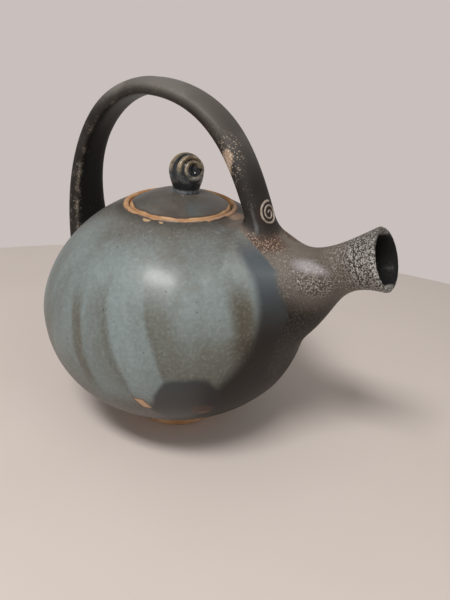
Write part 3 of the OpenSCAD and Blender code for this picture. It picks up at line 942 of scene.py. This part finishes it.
def add_pools(b, colour, side, z, uneven):
    """The blue runs beside the spout, the dark skirt under it, partly dark glaze and partly painted shade,
    the slate pool and the bare places.
    """
    blue = b.mix(b.span_mm(z, 98, 128), BLUE_LOW, BLUE)
    colour = b.lay(colour, blue, b.either(b.run(*NEAR_BLUE_RUN), b.run(*FAR_BLUE_RUN)), 0.92)
    # The dark skirt under the spout: partly dark glaze, partly painted shade on the shaded lower side.
    hem = b.node("MapRange", (side, 38.0, 20.0, 66 * MM, 98 * MM)).outputs[0]
    hem = b.add(hem, b.sway(uneven, 6 * MM))
    skirt = b.both(b.span_mm(b.minus(z, hem), 7, -10), b.span(side, 43.0, 35.0))
    colour = b.mix(skirt, colour, b.blend(uneven, (30, 23, 18), (36, 30, 27)))
    slate = b.mix(b.span_mm(z, 58, 74), SLATE_LOW, SLATE)
    slate = b.lay(slate, shade(34, 31, 30), b.span(side, 53.0, 36.0), 0.85)
    colour = b.lay(colour, slate, b.patch("slate pool"), 0.94)
    colour = b.lay(colour, shade(124, 112, 100), b.run(*TAN_STREAK), 0.5)
    for high, low, top, foot in BARE_CHIPS:
        rim = b.run(high, low, top + 0.8, foot - 0.8, -2.4, 2.2, 0.5, 0.5, waver=1.0, fade=0.9)
        colour = b.lay(colour, BARE_DARK, rim, 0.8)
        bare = b.run(high, low, top, foot, -1.5, 1.7, 0.35, 0.35, waver=2.0, fade=0.7)
        colour = b.mix(bare, colour, BARE_TAN)
    colour = b.lay(colour, shade(74, 53, 42), b.patch("thin at the pool"), 0.8)
    return b.lay(colour, shade(112, 86, 68), b.patch("bare at the pool"), 0.6)


def spout_glaze_colour(b, z, along, crust, fine):
    """Brown-black glaze with pale salt crusts towards the lip, fewer on its top as painted shade, a painted
    highlight on the neck, and rust where it is thin.
    """
    cloud = b.mottle(44.0, 0.32, 0.68, detail=5.0, shift=(0.0, 0.4, 0.2))
    # Near black low on the spout: dark glaze, partly painted shade on its underside; brown-grey higher up.
    lower = b.blend(cloud, (18, 10, 5), (31, 21, 14))
    upper = b.blend(cloud, (88, 80, 72), (104, 97, 89))
    colour = b.mix(b.span_mm(b.add(z, b.both(along, 30 * MM)), 112, 138), lower, upper)
    rusty = b.either(b.patch("rust"), b.patch("far rust"))
    colour = b.lay(colour, shade(70, 48, 37), rusty, 0.85)

    neck = b.both(b.span(along, 0.56, 0.80), 0.62)
    lip = b.both(b.span(along, 0.78, 0.90), 0.92)
    low_side = b.patch("salted side")
    salt = b.either(neck, lip, b.both(low_side, 0.8), b.both(b.patch("salted root"), 0.38), 0.10)
    # Fewer pale salt flakes high on the lip: its top is painted darker, as painted shade.
    salt = b.both(salt, b.span_mm(z, 154, 140, 0.4, 1.0))
    colour = b.lay(colour, shade(42, 34, 30), b.either(lip, b.both(low_side, 0.7)), 0.75)
    # A pale bluish patch on the spout's neck: a painted highlight.
    colour = b.lay(colour, shade(166, 161, 166), b.patch("painted highlight on the neck"), 0.85)
    pale = b.mix(fine, b.blend(lip, (132, 127, 119), (168, 166, 162)), shade(198, 195, 190))
    flakes = b.math("MINIMUM", b.both(crust, b.add(1.0, lip)), 1.0)
    colour = b.lay(colour, pale, salt, flakes)
    colour = b.lay(colour, shade(176, 150, 128), b.both(rusty, fine), 0.8)

    ragged = b.add(along, b.sway(cloud, 0.006))
    faint_ring = b.both(b.near(ragged, 0.921, 0.004, 0.001), 0.6)
    rings = b.either(b.near(ragged, 0.893, 0.006, 0.002), faint_ring)
    colour = b.lay(colour, shade(36, 29, 26), rings, 0.8)
    return colour, b.either(salt, rusty), rings


def strap_glaze_colour(b, face, across, along, fine, pinholes):
    """Brown-black glaze clouded with grey, painted grey highlights along the strap's top and low on its
    front leg, and cream where it broke on the strap's edges.
    """
    grey_tone_and_sheen = b.mottle(30.0, 0.35, 0.66, shift=(0.5, 0.0, 0.1))
    ragged = b.mottle(150.0, 0.45, 0.66)
    to_edge = b.size_of(across)
    colour = b.mix(grey_tone_and_sheen, STRAP_BROWN, STRAP_GREY)
    # A grey band on the strap's upper outer face: a painted highlight where light falls on its top.
    painted_top_highlight = b.both(b.span(face, 0.45, -0.5), b.both(b.span(along, 0.38, 0.90), b.span(along, 1.45, 1.10)))
    colour = b.lay(colour, b.blend(grey_tone_and_sheen, (117, 113, 108), (136, 132, 128)), painted_top_highlight, 0.85)
    colour = b.lay(colour, NEAR_BLACK, b.span(face, 0.50, 0.80), 0.9)
    rear_leg = b.both(b.span(along, 1.0, 1.12), b.span(along, 1.98, 1.90))
    corner = b.both(b.near(face, 0.70, 0.17, 0.04), b.span(to_edge, 0.62, 0.76), rear_leg)
    colour = b.lay(colour, shade(136, 124, 112), corner, b.add(b.both(ragged, 0.45), 0.06))
    edge = b.both(b.span(to_edge, 0.62, 0.9), ragged)
    specks = b.either(b.both(edge, b.span(along, 1.42, 1.75)), b.both(edge, 0.35))
    colour = b.lay(colour, CREAM, b.both(specks, fine), 0.7)
    # A pale bluish line low on the front leg's near edge: a painted highlight.
    painted_leg_highlight = b.both(b.span(across, -0.80, -0.92), b.both(b.span(along, 0.23, 0.27), b.span(along, 0.37, 0.31)))
    painted_leg_highlight = b.both(b.near(face, -0.42, 0.2, 0.04), painted_leg_highlight)
    colour = b.lay(colour, shade(130, 134, 136), painted_leg_highlight, 0.35)
    colour = b.lay(colour, shade(170, 156, 142), b.both(b.patch("specks on the strap"), fine), 0.9)
    colour = b.mix(b.patch("worn strap"), colour, b.blend(fine, (162, 140, 120), (204, 192, 180)))
    return b.lay(colour, shade(104, 96, 86), pinholes, 0.4)


def make_pot_glaze():
    """The fired pot's glazes: celadon on the body, dark on the spout and handle, bare at the foot."""
    made, b, shader = new_finish("celadon and dark glaze")
    x, y, z = b.xyz()
    side = b.size_of(b.direction(x, y))
    uneven = b.mottle(30.0, 0.2, 0.8)
    pinholes = b.effect("specks", Scale=520.0, Share=0.08, Size=0.3)
    fine = b.effect("specks", Scale=1150.0, Share=0.7, Size=0.6)
    crust = b.mottle(1150.0, 0.47, 0.55, detail=2.0)
    inside, handle, spout = b.painted("inside"), b.painted("handle"), b.painted("spout")
    spout_along, strap_along = b.painted("spout_along"), b.painted("strap_along")
    face, across = b.painted("strap_face"), b.painted("strap_across")

    colour = add_pools(b, body_glaze_colour(b, side, z, uneven), side, z, uneven)
    colour = b.lay(colour, DEEP_BROWN, pinholes, 0.6)
    below_spout = b.both(b.span(b.add(side, b.sway(uneven, 2.5)), 15.2, 13.6), b.span_mm(z, 147, 141))
    dark = b.either(b.both(b.span(spout_along, 0.27, 0.33), spout), below_spout)
    spout_colour, salted, rings = spout_glaze_colour(b, z, spout_along, crust, fine)
    colour = b.mix(dark, colour, spout_colour)
    colour = b.mix(handle, colour, strap_glaze_colour(b, face, across, strap_along, fine, pinholes))
    colour = b.lay(colour, shade(44, 34, 28), b.painted("spiral_ground"), 0.8)

    # Darker brown on the shoulder round the mouth, next to the gallery ring.
    ragged_out = b.add(b.from_axis(x, y), b.both(uneven, 3 * MM))
    dark_round_mouth = b.both(b.span_mm(ragged_out, 40.5, 34.5), b.span_mm(z, MOUTH_Z - 8, MOUTH_Z - 4))
    colour = b.lay(colour, DEEP_BROWN, dark_round_mouth, 0.45)
    colour = b.lay(colour, shade(160, 132, 112), b.patch("bald by the ring"), 0.75)
    for chip in ("chip by the ring", "small chip by the ring"):
        colour = b.lay(colour, BARE_TAN, b.patch(chip), 0.85)

    # Inside the pot murky brown glaze; along the spout's bore near black, dark glaze deepened as painted
    # shade.
    murk = b.blend(uneven, (40, 33, 30), (54, 46, 40))
    colour = b.mix(inside, colour, b.mix(b.span(spout_along, 0.35, 0.6), murk, shade(7, 6, 6)))
    foot = b.span_mm(b.add(z, b.both(uneven, 3 * MM)), FOOT_H + 6, FOOT_H + 4.5)
    colour = b.mix(b.less(foot, inside), colour, shade(210, 160, 110))

    crusted = b.both(dark, b.both(salted, crust))
    strap_legs = b.either(b.span(strap_along, 0.9, 0.4), b.span(strap_along, 1.2, 1.6))
    dull = b.either(b.both(dark, 0.8), inside, b.span(side, 47.0, 39.0), b.both(handle, strap_legs))
    rough = b.ramp(uneven, 0.40, 0.52)
    for mask, more in ((inside, 0.18), (crusted, 0.14), (foot, 0.35), (dull, 0.12)):
        rough = b.add(rough, b.both(mask, more))
    height = b.effect("fired grain", Waves=1.0, Tooth=0.16, Pits=b.both(pinholes, 0.5))
    raised = b.both(b.less(crusted, inside), 0.7)
    height = b.add(height, b.minus(raised, b.both(rings, dark, 0.8)))
    finish_with(b, shader, colour, rough, height, 0.35, 0.5, Coat_Roughness=0.22, Specular_IOR_Level=0.30)
    b.put(shader.inputs["Coat Weight"], b.ramp(dull, 0.20, 0.03))
    return made


def make_lid_glaze():
    """The lid: brown-grey glaze clouded with blue and green, and a bare edge."""
    made, b, shader = new_finish("lid glaze with bare edge")
    x, y, z = b.xyz()
    cloud = b.mottle(40.0, 0.3, 0.68, detail=5.0, shift=(0.1, 0.6, 0.0))
    blue = b.mottle(52.0, 0.48, 0.7, detail=3.0, shift=(0.9, 0.2, 0.0))
    uneven = b.mottle(110.0, 0.25, 0.75)
    pinholes = b.effect("specks", Scale=520.0, Share=0.12, Size=0.32)
    out = b.add(b.from_axis(x, y), b.both(uneven, 0.7 * MM))
    thin = b.span_mm(out, LID_R - 2.7, LID_R - 1.3)
    bare = b.either(b.span_mm(out, LID_R - 1.15, LID_R - 0.75), b.span_mm(z, LID_Z + 0.6, LID_Z + 0.3))
    colour = b.blend(cloud, (74, 67, 62), (96, 93, 87))
    colour = b.lay(colour, shade(76, 88, 91), blue, 0.7)
    colour = b.lay(colour, DEEP_BROWN, pinholes, 0.6)
    colour = b.lay(colour, shade(70, 56, 44), thin, 0.7)
    colour = b.mix(bare, colour, b.mix(uneven, RING_ORANGE, RING_TAN))
    rough = b.add(b.ramp(cloud, 0.36, 0.5), b.both(bare, 0.3))
    height = b.effect("fired grain", Waves=1.0, Tooth=0.12, Pits=b.both(pinholes, 0.5))
    finish_with(b, shader, colour, rough, height, 0.35, 0.5, Coat_Weight=0.18, Coat_Roughness=0.25)
    return made


def make_bare_clay():
    """Unglazed fired stoneware: warm tan with darker flashing and iron specks."""
    made, b, shader = new_finish("bare fired clay")
    cloud = b.mottle(90.0, 0.3, 0.7, detail=5.0)
    flash = b.mottle(28.0, 0.45, 0.75, detail=3.0, shift=(0.2, 0.2, 0.4))
    iron = b.effect("specks", Scale=900.0, Share=0.2, Size=0.35)
    colour = b.blend(cloud, (188, 136, 90), (214, 174, 132))
    colour = b.lay(colour, shade(160, 106, 62), flash, 0.5)
    colour = b.lay(colour, BARE_DARK, iron, 0.7)
    height = b.effect("fired grain", Waves=0.5, Tooth=0.35, Pits=b.both(iron, 0.4))
    finish_with(b, shader, colour, b.ramp(cloud, 0.7, 0.88), height, 0.5, 0.4)
    return made


def make_ring_finish():
    """The gallery ring: bare clay, with the shoulder's glaze over its outer rim on two arcs."""
    made, b, shader = new_finish("gallery ring half glazed")
    x, y, _ = b.xyz()
    angle, out = b.direction(x, y), b.from_axis(x, y)
    cloud = b.mottle(90.0, 0.3, 0.7, detail=5.0)
    uneven = b.mottle(140.0, 0.3, 0.7, shift=(0.4, 0.0, 0.1))
    iron = b.effect("specks", Scale=900.0, Share=0.2, Size=0.35)
    to_spout = b.both(b.span(angle, -34.0, -12.0), b.span(angle, 48.0, 34.0))
    inner = b.span_mm(out, GALLERY_R - 1.6, GALLERY_R - 2.4)
    shadowed = b.both(b.both(to_spout, inner), b.span(angle, -34.0, 8.0))
    colour = b.mix(cloud, RING_ORANGE, RING_TAN)
    colour = b.lay(colour, shade(158, 128, 108), to_spout, 0.6)
    colour = b.lay(colour, shade(62, 40, 26), shadowed, 0.8)
    start = b.add((GALLERY_R - 0.25) * MM, b.sway(uneven, 0.9 * MM))
    near_arc = b.both(b.span(angle, -122.0, -112.0), b.span(angle, 8.0, 0.0))
    far_arc = b.both(b.span(angle, 40.0, 52.0), b.span(angle, 172.0, 160.0))
    glazed = b.both(b.math("GREATER_THAN", out, start), b.either(near_arc, far_arc))
    colour = b.mix(glazed, colour, b.blend(cloud, (76, 68, 62), (92, 85, 79)))
    colour = b.lay(colour, BARE_DARK, iron, 0.5)
    height = b.effect("fired grain", Waves=0.5, Tooth=0.3, Pits=b.both(iron, 0.4))
    finish_with(b, shader, colour, b.ramp(glazed, 0.78, 0.45), height, 0.5, 0.4)
    return made


def make_knob_glaze():
    """Dark pooled glaze in the knob's grooves, breaking to olive, tan and cream on its crests."""
    made, b, shader = new_finish("knob glaze breaking on crests")
    crest, eye, foot = b.painted("crest"), b.painted("eye"), b.painted("foot")
    high = b.span_mm(b.xyz()[2], 154.8, 161.0)
    cloud = b.mottle(160.0, 0.3, 0.7)
    fine = b.mottle(420.0, 0.3, 0.7)
    ragged_crest = b.add(crest, b.sway(fine, 0.3))
    pooled = b.blend(cloud, (22, 24, 28), (40, 45, 50))
    low_film = b.blend(cloud, (42, 46, 48), (70, 75, 74))
    film = b.mix(high, low_film, b.blend(cloud, (86, 74, 58), (118, 106, 84)))
    colour = b.lay(pooled, film, b.span(ragged_crest, 0.02, 0.34), 0.92)
    ridge = b.blend(high, (106, 112, 108), (158, 141, 114))
    colour = b.lay(colour, ridge, b.span(ragged_crest, 0.86, 1.06), 0.75)
    round_eye = b.both(b.both(eye, fine), b.span(crest, 0.1, 0.5))
    colour = b.lay(colour, b.blend(cloud, (140, 108, 76), (196, 186, 170)), round_eye, 0.7)
    colour = b.lay(colour, shade(134, 140, 146), b.both(foot, fine), 0.6)
    height = b.effect("fired grain", Waves=0.6, Tooth=0.12)
    finish_with(b, shader, colour, b.ramp(crest, 0.2, 0.45), height, 0.3, 0.3, Coat_Weight=0.3,
                Coat_Roughness=0.15)
    return made


def make_cream_thread():
    """Cream glaze on the raised spiral, with patches of brown through it."""
    made, b, shader = new_finish("cream glazed thread")
    fine = b.mottle(700.0, 0.35, 0.7)
    brown = b.mottle(220.0, 0.5, 0.75, detail=3.0)
    colour = b.blend(fine, (134, 122, 111), (172, 162, 150))
    colour = b.lay(colour, shade(104, 88, 74), brown, 0.6)
    height = b.effect("fired grain", Waves=0.3, Tooth=0.2)
    finish_with(b, shader, colour, b.ramp(fine, 0.4, 0.55), height, 0.3, 0.2, Coat_Weight=0.2,
                Coat_Roughness=0.25)
    return made


def make_strainer_glaze():
    """Dark glaze on the pierced disc behind the spout."""
    made, b, shader = new_finish("dark strainer glaze")
    cloud = b.mottle(120.0, 0.3, 0.7)
    colour = b.blend(cloud, (34, 28, 25), (58, 48, 42))
    height = b.effect("fired grain", Waves=0.8, Tooth=0.1)
    finish_with(b, shader, colour, b.ramp(cloud, 0.22, 0.4), height, 0.3, 0.3)
    return made


def make_steel(name, stretch):
    """Brushed stainless steel with fine lines and a few soft tea marks."""
    made, b, shader = new_finish(name)
    lines = b.mottle(900.0, 0.3, 0.7, detail=3.0, stretch=stretch)
    marks = b.mottle(60.0, 0.55, 0.78)
    colour = b.blend(lines, (176, 178, 180), (205, 206, 208))
    colour = b.lay(colour, shade(150, 138, 120), marks, 0.35)
    rough = b.add(b.ramp(lines, 0.24, 0.38), b.both(marks, 0.12))
    finish_with(b, shader, colour, rough, lines, 0.12, 0.1, Metallic=1.0)
    return made


# ---------------------------------------------------------------- stage and lights
TABLE_R, TABLE_AT = 0.62, (0.19, -0.29, 0)   # in metres, as the lamps are

# Each lamp: the way to it from the pot, its distance, its two sides, its power and its colour.
LAMPS = {
    "key lamp": ((0.09, -0.51, 0.853), 1.0, (0.42, 0.16), 8.0, (1.0, 0.97, 0.95)),
    "side lamp": ((0.77, -0.17, 0.62), 1.1, (0.5, 0.5), 0.8, (1.0, 0.98, 0.96)),
}


def set_table():
    """A plain pale round table."""
    top = bpy.data.meshes.new("table")
    work = bmesh.new()
    bmesh.ops.create_circle(work, cap_ends=True, cap_tris=False, segments=128, radius=TABLE_R)
    bmesh.ops.translate(work, verts=work.verts, vec=TABLE_AT)
    work.to_mesh(top)
    work.free()
    table = bpy.data.objects.new("table", top)
    bpy.context.scene.collection.objects.link(table)
    made, b, shader = new_finish("pale table")
    faint = b.mottle(6.0, 0.2, 0.8, detail=2.0)
    b.put(shader.inputs["Base Color"], b.blend(faint, (206, 197, 190), (211, 202, 196)))
    shader.inputs["Roughness"].default_value = 0.6
    top.materials.append(made)


def fill_room():
    """Even light from all round, and a plain pale background for the camera."""
    world = bpy.data.worlds.new("soft room")
    world.use_nodes = True
    bpy.context.scene.world = world
    b = Bench(world.node_tree)
    ambient = next(n for n in world.node_tree.nodes if n.type == "BACKGROUND")
    ambient.inputs["Color"].default_value = shade(214, 208, 204)
    ambient.inputs["Strength"].default_value = 0.55
    seen = b.node("Background", {"Color": shade(201, 192, 189), "Strength": 1.0})
    ray = b.node("LightPath").outputs["Is Camera Ray"]
    room = b.node("MixShader", (ray, ambient.outputs[0], seen.outputs[0]))
    out = next(n for n in world.node_tree.nodes if n.type == "OUTPUT_WORLD")
    b.put(out.inputs["Surface"], room.outputs[0])


def hang_lamps():
    """One large soft lamp above and a weaker one at the side, both turned to the pot's middle."""
    for name, (toward, away, size, power, colour) in LAMPS.items():
        data = bpy.data.lights.new(name, "AREA")
        data.shape, data.energy, data.color = "RECTANGLE", power, colour
        data.size, data.size_y = size
        lamp = bpy.data.objects.new(name, data)
        toward = Vector(toward).normalized()
        lamp.location = Vector((0, 0, 0.1)) + toward * away
        lamp.rotation_mode = "QUATERNION"
        lamp.rotation_quaternion = (-toward).to_track_quat("-Z", "Y")
        bpy.context.scene.collection.objects.link(lamp)


# ---------------------------------------------------------------- put together
def dress(piece, body, finish, stands_for):
    """Gives a new piece its finish and its body, and hides the nodes that it stands for."""
    piece.data.materials.clear()
    piece.data.materials.append(finish)
    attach(piece, body)
    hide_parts(*stands_for)


def dress_node(name, finish):
    """Gives a node that shows as it is a new finish."""
    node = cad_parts[name]
    node.data.materials.clear()
    node.data.materials.append(finish)


place_camera()
make_effects()
bare_clay = make_bare_clay()
dress(throw_pot(), "pot", make_pot_glaze(), ("body_shell", "spout", "handle"))
dress(turn_gallery(), "pot", make_ring_finish(), ("lid_gallery",))
dress(turn_foot(), "pot", bare_clay, ("foot_ring",))
dress(lay_spiral(), "pot", make_cream_thread(), ("spiral_sprig",))
dress(turn_lid(), "lid", make_lid_glaze(), ("lid_dome",))
dress(roll_knob(), "lid", make_knob_glaze(), ("knob_collar", "lid_knob"))
dress_node("lid_flange", bare_clay)
dress_node("spout_strainer", make_strainer_glaze())
upright, flat = make_steel("brushed steel upright", 0.05), make_steel("brushed steel flat", 1.0)
for node in ("basket_wall", "basket_base_band"):
    dress_node(node, upright)
for node in ("basket_rim", "basket_floor"):
    dress_node(node, flat)
set_table()
fill_room()
hang_lamps()
bpy.context.scene.view_settings.view_transform = "Standard"
